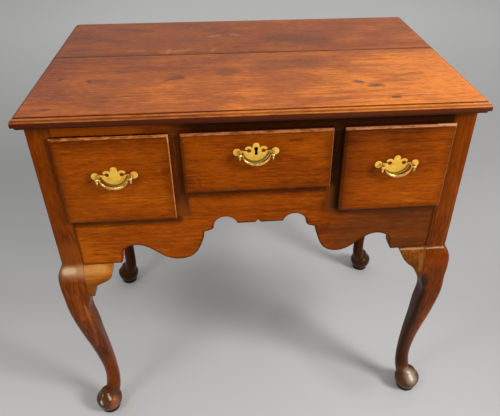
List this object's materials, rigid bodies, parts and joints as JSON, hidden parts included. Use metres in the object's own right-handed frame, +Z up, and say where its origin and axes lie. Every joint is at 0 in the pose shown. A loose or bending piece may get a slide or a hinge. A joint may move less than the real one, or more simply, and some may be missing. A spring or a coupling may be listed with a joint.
{
  "type": "lowboy",
  "caption": "Dressing table on cabriole legs with pad feet, lipped drawers with hanging brass bails, a scalloped apron and a moulded top.",
  "frame": {"origin": "middle of the footprint of the whole table, on the floor", "axes": "+X to the right seen from the front, -Y towards the front, +Z up"},
  "size_m": [0.7678, 0.5068, 0.742],
  "materials": {
    "top_wood": "waxed and worn",
    "front_wood": "waxed",
    "frame_wood": "dark waxed",
    "side_wood": "waxed",
    "lining_wood": "bare, dry",
    "peg_wood": "waxed",
    "brass": "aged polish",
    "lock_iron": "forged"
  },
  "bodies": {
    "case": {"apron": "front_wood", "back_panel": "lining_wood", "centre_drawer_runners": "lining_wood", "drawer_guides": "lining_wood", "drawer_kickers": "lining_wood", "front_left_knee_bracket": "front_wood", "front_left_leg": "frame_wood", "front_left_side_bracket": "frame_wood", "front_right_knee_bracket": "front_wood", "front_right_leg": "frame_wood", "front_right_side_bracket": "frame_wood", "glue_blocks": "lining_wood", "left_drawer_runners": "lining_wood", "left_muntin": "frame_wood", "left_partition": "lining_wood", "left_side_panel": "side_wood", "rear_left_leg": "frame_wood", "rear_left_side_bracket": "frame_wood", "rear_right_leg": "frame_wood", "rear_right_side_bracket": "frame_wood", "right_drawer_runners": "lining_wood", "right_muntin": "frame_wood", "right_partition": "lining_wood", "right_side_panel": "side_wood", "side_pegs": "peg_wood", "top_front_board": "top_wood", "top_rail": "frame_wood", "top_rear_board": "top_wood"},
    "left_drawer": {"left_drawer_front": "front_wood", "left_drawer_left_side": "lining_wood", "left_drawer_right_side": "lining_wood", "left_drawer_back": "lining_wood", "left_drawer_bottom": "lining_wood", "left_handle_plate": "brass", "left_handle_posts": "brass", "left_handle_nuts": "brass"},
    "left_bail": {"left_handle_bail": "brass"},
    "centre_drawer": {"centre_drawer_front": "front_wood", "centre_drawer_left_side": "lining_wood", "centre_drawer_right_side": "lining_wood", "centre_drawer_back": "lining_wood", "centre_drawer_bottom": "lining_wood", "centre_handle_plate": "brass", "centre_handle_posts": "brass", "centre_handle_nuts": "brass", "lock_case": "lock_iron"},
    "centre_bail": {"centre_handle_bail": "brass"},
    "right_drawer": {"right_drawer_front": "front_wood", "right_drawer_left_side": "lining_wood", "right_drawer_right_side": "lining_wood", "right_drawer_back": "lining_wood", "right_drawer_bottom": "lining_wood", "right_handle_plate": "brass", "right_handle_posts": "brass", "right_handle_nuts": "brass"},
    "right_bail": {"right_handle_bail": "brass"},
    "lock_bolt": {"lock_bolt": "lock_iron"}
  },
  "joints": [
    {"name": "left_drawer_slide", "type": "slide", "parent": "case", "child": "left_drawer", "axis": [0, -1, 0], "range_m": [0, 0.33]},
    {"name": "left_bail_swing", "type": "hinge", "parent": "left_drawer", "child": "left_bail", "pos_m": [-0.2365, -0.25, 0.631], "axis": [-1, 0, 0], "range_deg": [-26, 200]},
    {"name": "centre_drawer_slide", "type": "slide", "parent": "case", "child": "centre_drawer", "axis": [0, -1, 0], "range_m": [0, 0.33]},
    {"name": "centre_bail_swing", "type": "hinge", "parent": "centre_drawer", "child": "centre_bail", "pos_m": [-0.003, -0.25, 0.6652], "axis": [-1, 0, 0], "range_deg": [-26, 200]},
    {"name": "right_drawer_slide", "type": "slide", "parent": "case", "child": "right_drawer", "axis": [0, -1, 0], "range_m": [0, 0.33]},
    {"name": "right_bail_swing", "type": "hinge", "parent": "right_drawer", "child": "right_bail", "pos_m": [0.2365, -0.25, 0.631], "axis": [-1, 0, 0], "range_deg": [-26, 200]},
    {"name": "lock_bolt_throw", "type": "slide", "parent": "centre_drawer", "child": "lock_bolt", "axis": [0, 0, 1], "range_m": [0, 0.007]}
  ]
}
